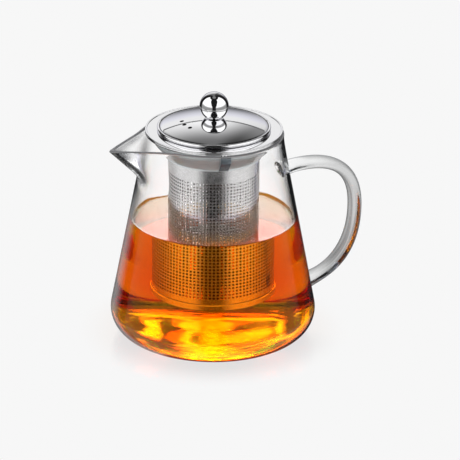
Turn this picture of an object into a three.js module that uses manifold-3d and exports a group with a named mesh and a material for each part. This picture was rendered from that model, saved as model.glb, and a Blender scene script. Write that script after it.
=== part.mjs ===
// Glass teapot with a stainless steel infuser that hangs in its neck and a lid that plugs into the infuser.
// Millimetres, +Z up. The origin is the centre of the pot's underside. The spout points along -X and the
// handle along +X. Every round piece shares the Z axis.
import * as THREE from 'three';
import { ConvexGeometry } from 'three/addons/geometries/ConvexGeometry.js';
import { mergeVertices } from 'three/addons/utils/BufferGeometryUtils.js';
import Module from 'manifold-3d';

const wasm = await Module();
wasm.setup();

// ---------------------------------------------------------------- driving dimensions

const ROUND_SIDES = 48; // facets of every turned piece, so that neighbours keep an even gap
const GAP = 0.3; // between pieces that touch on the real object
const OVERSHOOT = 6; // how far a cutting shape runs past the surface it cuts

// The pot: a straight cone of blown glass on a rounded foot.
const rimZ = 132.7;
const rimRadius = 42.1;
const flare = 0.194; // growth of the radius per millimetre below the rim
const footCorner = 16;
const wall = 2.1;
const floorRise = 1.2; // extra glass in the middle of the floor
const neckRadius = 40; // the neck's inside is a straight ring that grips the infuser
const neckDepth = 7.2;
const wallStartZ = 105; // below this the wall has its even thickness

// The spout: a flat-sided beak pulled out of the cone.
const spoutReach = 70; // from the axis to the tip
const spoutTipZ = 131; // the tip droops a little below the rim
const spoutKeelZ = 107; // where the keel leaves the cone
const spoutHalfAngle = THREE.MathUtils.degToRad(32);
const beakRoot = 33; // radius of the beak's flat root, which lies inside the pot's own round wall

// The handle: an oval glass rod fused on at both ends.
const handleTop = new THREE.Vector3(46.5, 0, 101.2);
const handleOuter = new THREE.Vector3(98.8, 0, 68.5);
const handleFoot = new THREE.Vector3(60, 0, 21.2);
const handlePulls = [
  new THREE.Vector3(75, 0, 106), // these four bend the rod, from its top root to its foot
  new THREE.Vector3(98.8, 0, 100),
  new THREE.Vector3(98.8, 0, 40),
  new THREE.Vector3(84, 0, 25),
];
const handleThickness = 8;
const handleWidth = 12;
const rootSpread = 1.3; // a fused root is this much larger than the rod
const rootLength = 5.5;

// The collar: a flat ring over a spun funnel.
const ringTopZ = 135;
const ringOuter = 42.7;
const ringInner = 33.3;
const ringPlate = 0.9;
const ringHemZ = 133; // the hem and the inner lip both turn down to here
const ringRound = 0.4; // the hem's upper corner is broken by this much
const sheet = 0.7;
const funnelNeck = 38.2;
const funnelNeckZ = 130; // the neck is straight above here
const funnelLip = 29.5;
const funnelLipZ = 117.9;
const funnelBowl = [
  [29.6, 119.1], // points of the bowl's outside, as radius and height
  [32, 121.6],
  [35.6, 125.4],
  [37.6, 127.9],
];

// The basket: a perforated tube with a crimped base.
const basketRadius = 28.4;
const basketSheet = 0.5;
const basketTopZ = 120.4;
const basketBottomZ = 27.4;
const baseLipZ = 30.2;
const baseWall = 0.6;
const baseFloor = 1; // the floor's thickness, and the size of the corner under it

// The spring clips: leaves welded near the funnel's lip, with the free end in a slot.
const clipAngles = [-103.7, 16.3, 136.3];
const clipWidth = 6;
const clipThickness = 0.5;
const clipCrest = neckRadius - GAP;
const clipCrestTopZ = 129.6;
const clipCrestZ = 126.6;
const clipFreeZ = 130.7;
const clipFreeInset = 0.2; // how far the free end lies inside the funnel's neck
const clipFootRadius = 30.9;
const clipFootZ = 118.9;
const clipFootBend = [0.9, 0.3]; // outwards and upwards from the foot to where the leaf bends
const slotHeight = 2.4;
const slotSide = 0.5; // room beside the leaf
const slotDepth = 4 * sheet; // the slot's cutter passes right through the funnel's neck

// The lid: a shallow dome with a rolled edge and a skirt.
const lidRadius = 35.1;
const lidTopZ = 142.4;
const domeRadius = 33.4;
const domeRise = 5.5;
const domeRings = [9, 18, 26]; // radii between the hole and the edge where the dome's facets meet
const beadRound = 0.2; // the rolled edge bulges and steps in by this much
const beadWidth = 0.9;
const skirtPlay = 0.6; // between the skirt and the ring
const skirtRadius = ringInner - skirtPlay;
const skirtBottomZ = 129.6;
const skirtRound = 0.4;
const ventCount = 3;
const ventRadius = 1.15;
const ventCircle = 20;
const ventStep = THREE.MathUtils.degToRad(18);

// The knob: a ball on a screw.
const ballRadius = 9;
const ballZ = 149.8;
const screwRadius = 1.7;
const screwTopZ = 149;
const screwHead = 3.6;
const headHeight = 1.7;
const headRound = 0.6;
const driverWidth = 1;
const driverDepth = 0.8;
const washerRadius = 5;
const washerThickness = 0.8;

// ---------------------------------------------------------------- finishes

const glass = { color: 0xeef4f2, roughness: 0.02, metalness: 0, transparent: true, opacity: 0.35 };
const polished = { color: 0xe4e4e6, roughness: 0.05, metalness: 1 };
const satin = { color: 0xb9b9bc, roughness: 0.3, metalness: 1 };

// ---------------------------------------------------------------- solids

// Keeps only positions, merges shared corners and drops the triangles that collapse on the axis.
function toSolid(geometry) {
  const bare = geometry.clone();
  bare.deleteAttribute('normal');
  bare.deleteAttribute('uv');
  const merged = mergeVertices(bare, 1e-4);
  const index = merged.index.array;
  const triangles = [];
  for (let i = 0; i < index.length; i += 3) {
    const [a, b, c] = index.subarray(i, i + 3);
    if (a !== b && b !== c && c !== a) triangles.push(a, b, c);
  }
  return new wasm.Manifold(new wasm.Mesh({
    numProp: 3,
    vertProperties: new Float32Array(merged.attributes.position.array),
    triVerts: new Uint32Array(triangles),
  }));
}

function toGeometry(solid) {
  const { vertProperties, triVerts } = solid.getMesh();
  const geometry = new THREE.BufferGeometry();
  geometry.setAttribute('position', new THREE.BufferAttribute(vertProperties, 3));
  geometry.setIndex(new THREE.BufferAttribute(triVerts, 1));
  const flat = geometry.toNonIndexed();
  flat.computeVertexNormals();
  return flat;
}

// Turns an outline of [radius, z] points about Z. It runs up the outside of the piece.
function turned(outline) {
  const points = outline.map(([radius, z]) => new THREE.Vector2(radius, z));
  return new THREE.LatheGeometry(points, ROUND_SIDES).rotateX(Math.PI / 2);
}

// The same for an outline that closes on itself, away from the axis.
function turnedRing(outline) {
  return turned([...outline, outline[0]]);
}

function arc(centreRadius, centreZ, radius, from, to, steps) {
  const points = [];
  for (let i = 0; i <= steps; i += 1) {
    const angle = THREE.MathUtils.degToRad(from + ((to - from) * i) / steps);
    points.push([centreRadius + radius * Math.cos(angle), centreZ + radius * Math.sin(angle)]);
  }
  return points;
}

function rodAlong(radius, fromZ, toZ) {
  const rod = new THREE.CylinderGeometry(radius, radius, toZ - fromZ, ROUND_SIDES);
  return rod.rotateX(Math.PI / 2).translate(0, 0, (fromZ + toZ) / 2);
}

// ---------------------------------------------------------------- pot

const lean = THREE.MathUtils.radToDeg(Math.atan(flare));

function coneRadius(z) {
  return rimRadius + flare * (rimZ - z);
}

// The foot's corner is an arc that meets the flat underside and the leaning side smoothly.
function cornerCentre() {
  const meetZ = footCorner * (1 + Math.sin(Math.atan(flare)));
  return coneRadius(meetZ) - footCorner * Math.cos(Math.atan(flare));
}

function potOutside(topZ) {
  const corner = arc(cornerCentre(), footCorner, footCorner, -90, lean, 6);
  return [[0, 0], ...corner, [coneRadius(topZ), topZ], [0, topZ]];
}

function potInside(topZ) {
  const corner = arc(cornerCentre(), footCorner, footCorner - wall, -90, lean, 5);
  return [
    [0, wall + floorRise],
    ...corner,
    [coneRadius(wallStartZ) - wall, wallStartZ],
    [neckRadius, rimZ - neckDepth],
    [neckRadius, topZ],
    [0, topZ],
  ];
}

// A beak with upright flat sides: its plan at any height is a V of the same angle. Its top runs from
// rootZ at the pot to tipZ at the point.
function beak(skin, rootZ, tipZ, rootRadius) {
  const keelSlope = (spoutReach - coneRadius(spoutKeelZ)) / (spoutTipZ - spoutKeelZ);
  const inset = skin / Math.sin(spoutHalfAngle);
  const keelRadius = (z) => coneRadius(spoutKeelZ) - inset + keelSlope * (z - spoutKeelZ);
  const keelFoot = (rootRadius - keelRadius(spoutKeelZ)) / keelSlope + spoutKeelZ;
  const halfWidth = (keelRadius(rootZ) - rootRadius) * Math.tan(spoutHalfAngle);
  return new ConvexGeometry([
    new THREE.Vector3(-keelRadius(tipZ), 0, tipZ),
    new THREE.Vector3(-rootRadius, -halfWidth, rootZ),
    new THREE.Vector3(-rootRadius, halfWidth, rootZ),
    new THREE.Vector3(-rootRadius, 0, keelFoot),
  ]);
}

function makePotBody() {
  const aboveZ = rimZ + OVERSHOOT;
  const outerBeak = toSolid(beak(0, rimZ, spoutTipZ, beakRoot));
  const innerBeak = toSolid(beak(wall, aboveZ, aboveZ, beakRoot - wall));
  const outside = toSolid(turned(potOutside(rimZ))).add(outerBeak);
  const inside = toSolid(turned(potInside(aboveZ))).add(innerBeak);
  return toGeometry(outside.subtract(inside));
}

function handleCurve() {
  const [first, second, third, fourth] = handlePulls;
  const path = new THREE.CurvePath();
  path.add(new THREE.CubicBezierCurve3(handleTop, first, second, handleOuter));
  path.add(new THREE.CubicBezierCurve3(handleOuter, third, fourth, handleFoot));
  return path;
}

function makeHandle() {
  const section = new THREE.Shape();
  section.absellipse(0, 0, handleWidth / 2, handleThickness / 2, 0, Math.PI * 2);
  const rod = new THREE.ExtrudeGeometry(section, {
    extrudePath: handleCurve(),
    steps: 30,
    curveSegments: 6,
  });
  const roots = [handleTop, handleFoot].map((place) => {
    const root = new THREE.SphereGeometry(1, 16, 10);
    root.scale(rootLength, (rootSpread * handleWidth) / 2, (rootSpread * handleThickness) / 2);
    return toSolid(root.translate(coneRadius(place.z), 0, place.z));
  });
  const potWithGap = turned([
    [0, 0],
    [coneRadius(0) + GAP, 0],
    [coneRadius(rimZ) + GAP, rimZ],
    [0, rimZ],
  ]);
  const fused = toSolid(rod).add(roots[0]).add(roots[1]);
  return toGeometry(fused.subtract(toSolid(potWithGap)));
}

// ---------------------------------------------------------------- infuser

function makeCollarRing() {
  return turnedRing([
    [ringInner, ringHemZ],
    [ringInner + sheet, ringHemZ],
    [ringInner + sheet, ringTopZ - ringPlate],
    [ringOuter - sheet, ringTopZ - ringPlate],
    [ringOuter - sheet, ringHemZ],
    [ringOuter, ringHemZ],
    [ringOuter, ringTopZ - ringRound],
    [ringOuter - ringRound, ringTopZ],
    [ringInner + ringRound, ringTopZ],
    [ringInner, ringTopZ - ringRound],
  ]);
}

// The leaf's middle line, as [radius, z] from its free end to its welded foot.
function clipLine() {
  const middle = clipCrest - clipThickness / 2;
  return [
    [funnelNeck - clipFreeInset, clipFreeZ],
    [middle, clipCrestTopZ],
    [middle, clipCrestZ],
    [clipFootRadius + clipFootBend[0], clipFootZ + clipFootBend[1]],
    [clipFootRadius, clipFootZ],
  ];
}

function makeClip(angle) {
  const line = clipLine().map(([radius, z]) => new THREE.Vector2(radius, z));
  const offset = (side) => line.map((point, i) => {
    const before = line[Math.max(i - 1, 0)];
    const after = line[Math.min(i + 1, line.length - 1)];
    const along = after.clone().sub(before).normalize();
    return new THREE.Vector2(-along.y, along.x).multiplyScalar((side * clipThickness) / 2).add(point);
  });
  const outline = new THREE.Shape([...offset(1), ...offset(-1).reverse()]);
  const leaf = new THREE.ExtrudeGeometry(outline, { depth: clipWidth, bevelEnabled: false });
  leaf.translate(0, 0, -clipWidth / 2).rotateX(Math.PI / 2);
  return leaf.rotateZ(THREE.MathUtils.degToRad(angle));
}

function makeFunnel() {
  const flangeTop = ringTopZ - ringPlate - GAP;
  const flangeOuter = ringOuter - sheet - GAP;
  const outside = [
    [funnelLip, funnelLipZ],
    ...funnelBowl,
    [funnelNeck, funnelNeckZ],
    [funnelNeck, flangeTop - sheet],
    [flangeOuter, flangeTop - sheet],
  ];
  const inside = outside.map(([radius, z]) => [radius - sheet, z]);
  inside[inside.length - 1] = [flangeOuter, flangeTop];
  inside[inside.length - 2] = [funnelNeck - sheet, flangeTop];
  let funnel = toSolid(turnedRing([...outside, ...inside.reverse()]));
  for (const angle of clipAngles) {
    const slot = new THREE.BoxGeometry(slotDepth, clipWidth + 2 * slotSide, slotHeight);
    slot.translate(funnelNeck - sheet / 2, 0, clipFreeZ).rotateZ(THREE.MathUtils.degToRad(angle));
    funnel = funnel.subtract(toSolid(slot));
  }
  return toGeometry(funnel);
}

function makeBasketTube() {
  const inner = basketRadius - basketSheet;
  return turnedRing([
    [inner, basketBottomZ],
    [basketRadius, basketBottomZ],
    [basketRadius, basketTopZ],
    [inner, basketTopZ],
  ]);
}

// A shallow cup that the tube's lower end stands in.
function makeBasketBase() {
  const inner = basketRadius + GAP;
  const outer = inner + baseWall;
  const floorTop = basketBottomZ - GAP;
  const floorBottom = floorTop - baseFloor;
  return turned([
    [0, floorBottom],
    [outer - baseFloor, floorBottom],
    [outer, floorBottom + baseFloor],
    [outer, baseLipZ],
    [inner, baseLipZ],
    [inner, floorTop],
    [0, floorTop],
  ]);
}

// ---------------------------------------------------------------- lid

// Height of the dome's outer skin at a radius, from the circle through its apex and edge.
function domeZ(radius) {
  const curve = (domeRadius ** 2 + domeRise ** 2) / (2 * domeRise);
  return lidTopZ - curve + Math.sqrt(curve ** 2 - radius ** 2);
}

function makeLidDome() {
  const hole = screwRadius + GAP;
  const radii = [hole, ...domeRings, domeRadius];
  const skin = radii.map((radius) => [radius, domeZ(radius)]);
  const under = radii.map((radius) => [radius, domeZ(radius) - sheet]);
  const lipZ = ringTopZ + GAP;
  const edge = domeZ(domeRadius);
  let dome = toSolid(turnedRing([
    ...under,
    [domeRadius + 2 * beadRound, lipZ],
    [lidRadius, lipZ],
    [lidRadius + beadRound, (lipZ + edge) / 2],
    [lidRadius - beadRound, edge + beadRound / 2],
    [lidRadius - beadWidth, edge + 1.5 * beadRound],
    ...skin.reverse(),
  ]));
  for (let i = 0; i < ventCount; i += 1) {
    const angle = Math.PI + (i - (ventCount - 1) / 2) * ventStep;
    const vent = rodAlong(ventRadius, ringTopZ, lidTopZ + OVERSHOOT);
    vent.translate(ventCircle * Math.cos(angle), ventCircle * Math.sin(angle), 0);
    dome = dome.subtract(toSolid(vent));
  }
  return toGeometry(dome);
}

function makeLidSkirt() {
  const topZ = domeZ(skirtRadius) - sheet - GAP;
  const inner = skirtRadius - sheet;
  return turnedRing([
    [inner, skirtBottomZ],
    [skirtRadius, skirtBottomZ + skirtRound],
    [skirtRadius, topZ],
    [inner, topZ],
  ]);
}

function makeKnobBall() {
  const flatZ = lidTopZ + GAP;
  const hole = screwRadius + GAP;
  const flatAngle = THREE.MathUtils.radToDeg(Math.asin((flatZ - ballZ) / ballRadius));
  return turned([
    [0, screwTopZ + GAP],
    [hole, screwTopZ + GAP],
    [hole, flatZ],
    ...arc(0, ballZ, ballRadius, flatAngle, 90, 12),
  ]);
}

function makeKnobScrew() {
  const headTop = lidTopZ - sheet - washerThickness - 3 * GAP;
  const headBottom = headTop - headHeight;
  const screw = toSolid(turned([
    [0, headBottom],
    [screwHead - headRound, headBottom],
    [screwHead, headBottom + headRound],
    [screwHead, headTop],
    [screwRadius, headTop],
    [screwRadius, screwTopZ],
    [0, screwTopZ],
  ]));
  const slot = new THREE.BoxGeometry(3 * screwHead, driverWidth, 2 * driverDepth);
  slot.translate(0, 0, headBottom);
  return toGeometry(screw.subtract(toSolid(slot)));
}

function makeKnobWasher() {
  const topZ = lidTopZ - sheet - 2 * GAP;
  const hole = screwRadius + GAP;
  return turnedRing([
    [hole, topZ - washerThickness],
    [washerRadius, topZ - washerThickness],
    [washerRadius, topZ],
    [hole, topZ],
  ]);
}

// ---------------------------------------------------------------- assembly

function piece(name, geometry, finish) {
  const mesh = new THREE.Mesh(geometry, new THREE.MeshStandardMaterial(finish));
  mesh.name = name;
  return mesh;
}

const pot = new THREE.Group();
pot.add(piece('glass_body', makePotBody(), glass));
pot.add(piece('glass_handle', makeHandle(), glass));

const infuser = new THREE.Group();
infuser.add(piece('collar_ring', makeCollarRing(), polished));
infuser.add(piece('collar_funnel', makeFunnel(), polished));
infuser.add(piece('basket_tube', makeBasketTube(), satin));
infuser.add(piece('basket_base', makeBasketBase(), satin));
clipAngles.forEach((angle, i) => {
  infuser.add(piece(`spring_clip_${i + 1}`, makeClip(angle), polished));
});

const lid = new THREE.Group();
lid.add(piece('lid_dome', makeLidDome(), polished));
lid.add(piece('lid_skirt', makeLidSkirt(), satin));
lid.add(piece('knob_ball', makeKnobBall(), polished));
lid.add(piece('knob_screw', makeKnobScrew(), satin));
lid.add(piece('knob_washer', makeKnobWasher(), satin));

const group = new THREE.Group();
group.add(pot, infuser, lid);

export default group;
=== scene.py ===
"""The glass teapot and its steel infuser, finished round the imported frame.

Lengths are in millimetres until a mesh is made. The spout points along -X and the handle along +X.
"""
import math

import bmesh
import bpy
import numpy as np
from mathutils import Matrix, Vector


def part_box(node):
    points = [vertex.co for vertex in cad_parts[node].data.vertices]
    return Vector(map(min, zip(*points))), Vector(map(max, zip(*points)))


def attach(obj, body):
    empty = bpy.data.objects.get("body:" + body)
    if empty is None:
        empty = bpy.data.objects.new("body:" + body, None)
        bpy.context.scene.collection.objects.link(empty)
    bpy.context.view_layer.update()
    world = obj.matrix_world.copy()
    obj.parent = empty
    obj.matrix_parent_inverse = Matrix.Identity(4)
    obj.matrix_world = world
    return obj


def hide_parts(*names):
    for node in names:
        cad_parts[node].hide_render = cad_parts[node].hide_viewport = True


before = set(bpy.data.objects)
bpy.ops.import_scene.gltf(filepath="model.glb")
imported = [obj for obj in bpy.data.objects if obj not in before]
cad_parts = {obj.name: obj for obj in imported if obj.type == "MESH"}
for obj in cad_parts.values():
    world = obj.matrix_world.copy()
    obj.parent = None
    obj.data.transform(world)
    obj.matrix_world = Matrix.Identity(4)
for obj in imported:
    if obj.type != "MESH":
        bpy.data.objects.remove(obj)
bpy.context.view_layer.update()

MM = 0.001

# ------------------------------------------------------------------ sizes taken from the frame


def node_box(node):
    """Lowest and highest corner of a CAD node, in millimetres."""
    low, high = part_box(node)
    return low / MM, high / MM


def node_span(node):
    """Height of a CAD node's underside and of its top."""
    low, high = node_box(node)
    return low.z, high.z


def node_radius(node):
    low, high = node_box(node)
    return (high.y - low.y) / 2


RIM_Z = node_span("glass_body")[1]
SPOUT_REACH = -node_box("glass_body")[0].x
RING_OUTER = node_radius("collar_ring")
RING_BOTTOM, RING_TOP = node_span("collar_ring")
FUNNEL_BOTTOM, FUNNEL_TOP = node_span("collar_funnel")
BASKET_RADIUS = node_radius("basket_tube")
BASKET_BOTTOM, BASKET_TOP = node_span("basket_tube")
BASE_RADIUS = node_radius("basket_base")
BASE_BOTTOM, BASE_TOP = node_span("basket_base")
LID_RADIUS = node_radius("lid_dome")
LID_BOTTOM, LID_TOP = node_span("lid_dome")
SKIRT_RADIUS = node_radius("lid_skirt")
SKIRT_BOTTOM, SKIRT_TOP = node_span("lid_skirt")
BALL_BOTTOM, BALL_TOP = node_span("knob_ball")
SCREW_HEAD_RADIUS = node_radius("knob_screw")
SCREW_BOTTOM, SCREW_TOP = node_span("knob_screw")
WASHER_RADIUS = node_radius("knob_washer")
WASHER_BOTTOM, WASHER_TOP = node_span("knob_washer")

# ------------------------------------------------------------------ sizes the frame's boxes don't say

ROUND = 256  # sides of the large turned pieces
GAP = 0.3  # between pieces that touch on the real object
SHEET = 0.7  # thickness of the funnel's, the lid's and the skirt's steel

# the pot
RIM_RADIUS = 42.1
FLARE = 0.194  # growth of the radius per millimetre below the rim
LEAN = math.atan(FLARE)
FOOT_CORNER = 16.0
WALL = 2.1
FLOOR_RISE = 1.2  # extra glass in the middle of the floor
PUSH_UP = 0.7  # the underside is hollowed by this much inside its standing ring
STANDING_RING = 2.0  # from the end of that hollow to where the foot's corner starts
NECK_RADIUS = 40.0
SPOUT_TIP_Z = 131.0
SPOUT_KEEL_Z = 107.0
SPOUT_ANGLE = math.radians(32)  # from the keel's plane to each flat side of the beak
BEAK_BLEND = 9.0  # the beak runs into the cone over this distance
BODY_COLUMNS = 360
BEAK_CROWDING = 0.68  # how strongly those columns crowd at the beak
WALL_ROWS = 60
WALL_CROWDING = 0.8  # a power below 1 spreads the rows near the foot
CORNER_STEPS = 18
LIP_STEPS = 10
HOLLOW_SHARES = (0.2, 0.4, 0.6, 0.75, 0.87, 0.95)  # rings of the underside, as shares of its radius
FLOOR_SHARES = (0.2, 0.4, 0.6, 0.75, 0.9)

# where a look of the glass starts and ends, in metres: three along X and the rim upwards
HANDLE_GLASS = (0.054, 0.066)
# the handle's painted streaks of shade grow to full strength between these
CORD_SHADE_GLASS = (0.066, 0.092)
SPOUT_GLASS = (-0.05, -0.045)
RIM_GLASS = (0.118, 0.124)

# the handle, an oval rod along two curves of (x, z) points
HANDLE_UPPER = [(46.9, 101.2), (75, 106), (98.8, 100), (98.8, 68.5)]
HANDLE_LOWER = [(98.8, 68.5), (98.8, 40), (84, 25), (61.2, 21.5)]
HANDLE_ROWS = 60  # along each curve
HANDLE_SIDES = 40
HANDLE_THICK = 8.0
HANDLE_WIDE = 12.0
TOP_ROOT = (0.2, 4.5)  # how much wider the rod is at a root, and the length it fades over
FOOT_ROOT = (0.25, 9.0)

# the tea
TEA_LEVEL = 76.2
TEA_BITE = 0.15  # its side lies this far inside the glass, so that no air shows between them
TEA_ROWS = 24
MENISCUS_RISE = 1.3  # the tea creeps up the glass by this much
MENISCUS_REACH = 0.9

# the infuser
RING_INNER = 33.3
FUNNEL_NECK = 38.2
FUNNEL_LIP = 29.5
FUNNEL_BOWL = [(32, 121.6), (35.6, 125.4), (37.6, 127.9)]  # points of its outside, as (r, z)
FUNNEL_NECK_Z = 130  # the neck is straight above here
CLIP_ANGLES = (-103.7, 16.3, 136.3)
CLIP_WIDTH = 6.0
CLIP_THICK = 0.5
CLIP_CREST = NECK_RADIUS - GAP
CLIP_CREST_Z = (129.6, 126.6)
CLIP_FREE_Z = 130.7
CLIP_FREE_INSET = 0.2  # how far the free end lies inside the funnel's neck
CLIP_FOOT = (30.9, 31.8)  # radius of the welded end, and of the bend beside it
CLIP_BEND_RISE = 0.45
CLIP_BEVEL = 0.12
SLOT_HEIGHT = 2.4
SLOT_SPARE = 1  # how much wider the slot is than the clip
TUBE_SHEET = 0.5
HOLE_COLUMNS = 84
HOLE_ROWS = 36
HOLE_LOW = 33.5
HOLE_HIGH = 109.4
HOLE_SHARE = 0.56  # of a cell's side
SEAM_START = HOLE_COLUMNS // 6  # the sheet's ends meet here, on the side away from the spout
SEAM_COLUMNS = 3  # left plain along the seam
BASE_DIP = 14  # radius of the shallow dip in the basket's floor

# the lid
DOME_RADIUS = 33.4
DOME_RISE = 5.5
DOME_ROWS = 40
BEAD = 0.85  # radius of the rolled edge
# where the painted shade of the lid's groove lies, and half its width
GROOVE_RADIUS = 33.6
GROOVE_HALF_WIDTH = 0.2
VENT_COUNT = 3
VENT_RADIUS = 1.15
VENT_SHADE_REACH = 0.15  # the painted shade of a vent reaches this far round its edge
VENT_CIRCLE = 20.0
VENT_STEP = math.radians(18)
VENT_SIDES = 32
BALL_RADIUS = 9.0
BALL_SIDES = 128
SCREW_RADIUS = 1.7
SCREW_HOLE = SCREW_RADIUS + GAP
SCREW_HEAD = 1.7  # its height
SCREW_SIDES = 64
SCREW_SLOT = (1.0, 1.6)  # width, and twice the depth

# ------------------------------------------------------------------ the camera and the studio

PHOTO_AZIMUTH = math.radians(-24.5)
PHOTO_ELEVATION = math.radians(22.2)
CAMERA_DISTANCE = 2.0
TARGET_Z = 0.075
FRAME_SIDE = 460 / 1.6 * MM  # the width that the picture covers at the pot's axis
CAMERA_ROLL = math.radians(0.38)
CAMERA_SHIFT = (0.0361, -0.0254)
SENSOR = 36
BACKDROP = 0.93
GLASS_GAIN = 1.12  # makes up what glass takes from the backdrop
FLOOR_RADIUS = 20000
FLOOR_SIDES = 96
FLOOR_Z = -0.3
FLOOR_GLOSS = 0.22
GLOSS_COLOUR = (1.0, 0.82, 0.7, 1)
GLOSSY_FROM_AXIS = (0.055, 0.088)  # the floor's gloss fades out between these distances, in metres
LAMP_UNDER_POT = 2.2  # added to the floor's glow where the pot hides it
LAMP_FROM_AXIS = (0.02, 0.054)
OUTSIDE_LOSS = 0.25  # share of the outer room's light that is left once glass has been crossed
WHITE = (1, 1, 1, 1)

# The outer room. Each pair is where one level gives way to the next, in degrees: round from the
# camera's side, or up from the horizon.
UNDER_TABLE = (-22, -16)
SOFTBOX_FOOT = (-2, 12)
SOFTBOX_TOP = (62, 66)
SOFTBOX_START = (21, 25)  # the dark gap is between these, on either side of the camera
SOFTBOX_END = (110, 116)
SOFTBOX = 1.3
WALL_START = (142, 154)
HAZE_HEIGHT = (-16, 21)
HAZE = 0.9  # brightness of the low wall behind the pot, as the floor and the lid reflect it
HAZE_LOW = 0.04  # and of its foot
HAZE_BLUE = (0.97, 0.97, 1.0573)  # tint of its lower part
WALL_LINE = (24.6, 25.4, 26.2, 26.8)  # the thin dark line starts and ends at these heights
WALL_TOP = (25.6, 26.6)
LINE_GREY = (0.08, 0.08, 0.08, 1)
CEILING = (77, 81)
CEILING_GREY = (0.22, 0.22, 0.22, 1)

# The inner room, in the same way.
STRIP = 11.0  # the brightest part of the strip that lights the tea from behind
STRIP_FOOT = (-14, -4)
STRIP_TOP = (28, 36)
STRIP_SIDES = (100, 120)
STRIP_MIDDLE = (125, 165)
TABLE_HEIGHT = -8.0  # rays near this height would show the room as a veil over the tea
TABLE_BAND = (5, 9)

# Transmission Depth tells where a reflected ray has been. It is 4 off steel seen through the glass,
# 6 off steel in the tea, about 10 after one reflection inside the tea, and 4 more for each other one.
CROSSED_GLASS = 2.5
CROSSED_TEA = 4.5
MIRRORED_IN_TEA = 9.5
MIRRORED_OFTEN = 13.5
TEA_GAIN = (1.6, 1.6, 2.0, 1)
MIRRORED_GAIN = (0.6, 1.6, 0.8, 1)
OFTEN_GAIN = (1.2, 22.0, 0.8, 1)  # green, which so long a way through the tea has mostly taken

# ------------------------------------------------------------------ mesh helpers


def new_object(name, vertices, faces):
    mesh = bpy.data.meshes.new(name)
    mesh.from_pydata([Vector(v) * MM for v in vertices], [], faces)
    mesh.validate()
    obj = bpy.data.objects.new(name, mesh)
    bpy.context.scene.collection.objects.link(obj)
    face_outwards(mesh)
    return obj


def face_outwards(mesh):
    work = bmesh.new()
    work.from_mesh(mesh)
    bmesh.ops.recalc_face_normals(work, faces=work.faces)
    work.to_mesh(mesh)
    work.free()


def smooth(obj, sharp_angle=35):
    """Smooth shading with a crease wherever faces meet at more than sharp_angle."""
    for face in obj.data.polygons:
        face.use_smooth = True
    obj.data.set_sharp_from_angle(angle=math.radians(sharp_angle))


def arc(centre_r, centre_z, radius, start, end, steps):
    """Points on an arc, its angles in degrees from the outward direction."""
    angles = np.radians(np.linspace(start, end, steps + 1))
    return [(centre_r + radius * math.cos(a), centre_z + radius * math.sin(a)) for a in angles]


def rounded_corner(before, corner, after, radius, steps):
    """Points that take the place of one corner. A nearly straight one stays a single point."""
    back, ahead = before - corner, after - corner
    turn = back.angle(ahead)
    if turn > math.radians(176):
        return [tuple(corner)]
    reach = min(radius / math.tan(turn / 2), back.length * 0.48, ahead.length * 0.48)
    first = corner + back.normalized() * reach
    last = corner + ahead.normalized() * reach
    shares = [step / steps for step in range(steps + 1)]
    return [tuple(first * (1 - t) ** 2 + corner * 2 * t * (1 - t) + last * t ** 2) for t in shares]


def filleted(outline, radius, steps=5, closed=True):
    """Rounds each corner of an outline of (r, z) points. radius is one number or one for each point."""
    count = len(outline)
    radii = radius if isinstance(radius, (list, tuple)) else [radius] * count
    points = [Vector(p) for p in outline]
    result = []
    for i, corner in enumerate(points):
        at_end = not closed and i in (0, count - 1)
        if at_end or radii[i] <= 0:
            result.append(tuple(corner))
        else:
            result += rounded_corner(points[i - 1], corner, points[(i + 1) % count], radii[i], steps)
    return result


def directions(path):
    """The unit vector along a path at each of its points."""
    along = np.gradient(path, axis=0)
    return along / np.linalg.norm(along, axis=1)[:, None]


def band(low, high):
    """Faces between two rings of vertices, either of which can be a single point."""
    count = max(len(low), len(high))
    faces = []
    for i in range(count if count > 1 else 0):
        j = (i + 1) % count
        if len(low) == 1:
            faces.append((low[0], high[j], high[i]))
        elif len(high) == 1:
            faces.append((low[i], low[j], high[0]))
        else:
            faces.append((low[i], low[j], high[j], high[i]))
    return faces


def skin(rings):
    """Faces between each ring of vertices and the next."""
    faces = []
    for low, high in zip(rings, rings[1:]):
        faces += band(low, high)
    return faces


def capped(rings):
    return skin(rings) + [tuple(rings[0]), tuple(rings[-1])]


def lathe(name, outline, sides=ROUND, closed=True):
    """Turns an outline of (r, z) points about Z. An open outline starts and ends on the axis."""
    vertices, rings = [], []
    for r, z in outline:
        on_axis = r < 1e-6
        count = 1 if on_axis else sides
        rings.append(range(len(vertices), len(vertices) + count))
        for i in range(count):
            a = 2 * math.pi * i / sides
            vertices.append((0, 0, z) if on_axis else (r * math.cos(a), r * math.sin(a), z))
    if closed:
        rings.append(rings[0])
    obj = new_object(name, vertices, skin(rings))
    smooth(obj)
    return obj


def turned_box(name, size, place, angle):
    """A box at (r, z) turned about the pot's axis."""
    half = [s / 2 for s in size]
    spin = Matrix.Rotation(math.radians(angle), 3, "Z")
    vertices = []
    for i, j, k in [(i, j, k) for i in (-1, 1) for j in (-1, 1) for k in (-1, 1)]:
        vertices.append(spin @ Vector((place[0] + i * half[0], j * half[1], place[1] + k * half[2])))
    faces = [(0, 1, 3, 2), (4, 6, 7, 5), (0, 4, 5, 1), (2, 3, 7, 6), (0, 2, 6, 4), (1, 5, 7, 3)]
    return new_object(name, vertices, faces)


def boolean(obj, other, operation):
    """Joins other to obj or cuts it away, and removes other."""
    modifier = obj.modifiers.new("boolean", "BOOLEAN")
    modifier.object = other
    modifier.operation = operation
    modifier.solver = "EXACT"
    bake_modifiers(obj)
    bpy.data.objects.remove(other)


def bake_modifiers(obj):
    graph = bpy.context.evaluated_depsgraph_get()
    mesh = bpy.data.meshes.new_from_object(obj.evaluated_get(graph))
    obj.modifiers.clear()
    obj.data = mesh


# ------------------------------------------------------------------ node helpers


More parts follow.
